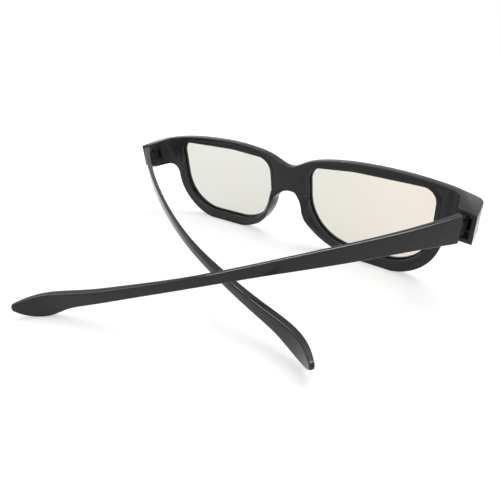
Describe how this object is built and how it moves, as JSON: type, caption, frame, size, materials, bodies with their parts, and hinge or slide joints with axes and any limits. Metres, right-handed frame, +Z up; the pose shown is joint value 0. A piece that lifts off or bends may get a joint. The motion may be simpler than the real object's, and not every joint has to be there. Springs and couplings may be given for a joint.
{
  "type": "3d glasses",
  "caption": "Circular-polarised 3D viewing glasses: black one-piece front with moulded nose pads, clear laminated lenses, and two pinned folding temples, standing with the arms crossed.",
  "frame": {"origin": "centre of the bounding box on the surface the glasses stand on, in the pictured pose with the arms crossed", "axes": "+Z up from the surface, +X towards the wearer's right, +Y forward, away from the wearer; the front leans back towards the temples"},
  "size_m": [0.1444, 0.1074, 0.0395],
  "materials": {
    "black_plastic": "satin to gloss black moulding",
    "clear_sheet": "clear carrier sheet with a faint warm grey tint",
    "polariser_film": "polarising film",
    "retarder_film": "retarder film",
    "steel": "hinge pin"
  },
  "bodies": {
    "front": {"front_frame": "black_plastic", "right_lens_retainer": "black_plastic", "right_lens_carrier": "clear_sheet", "right_lens_polariser": "polariser_film", "right_lens_retarder": "retarder_film", "right_hinge_pin": "steel", "left_lens_retainer": "black_plastic", "left_lens_carrier": "clear_sheet", "left_lens_polariser": "polariser_film", "left_lens_retarder": "retarder_film", "left_hinge_pin": "steel"},
    "right_arm": {"right_temple": "black_plastic"},
    "left_arm": {"left_temple": "black_plastic"}
  },
  "joints": [
    {"name": "right_temple_fold", "type": "hinge", "parent": "front", "child": "right_arm", "pos_m": [0.068, 0.03707, 0.02932], "axis": [0, 0.15, -0.9887], "range_deg": [-41.8, 23.2]},
    {"name": "left_temple_fold", "type": "hinge", "parent": "front", "child": "left_arm", "pos_m": [-0.068, 0.03707, 0.02932], "axis": [0, -0.15, 0.9887], "range_deg": [-46.9, 26.1]}
  ],
  "couplings": [
    {"joint": "left_temple_fold", "follows": "right_temple_fold", "ratio": 1.12}
  ]
}
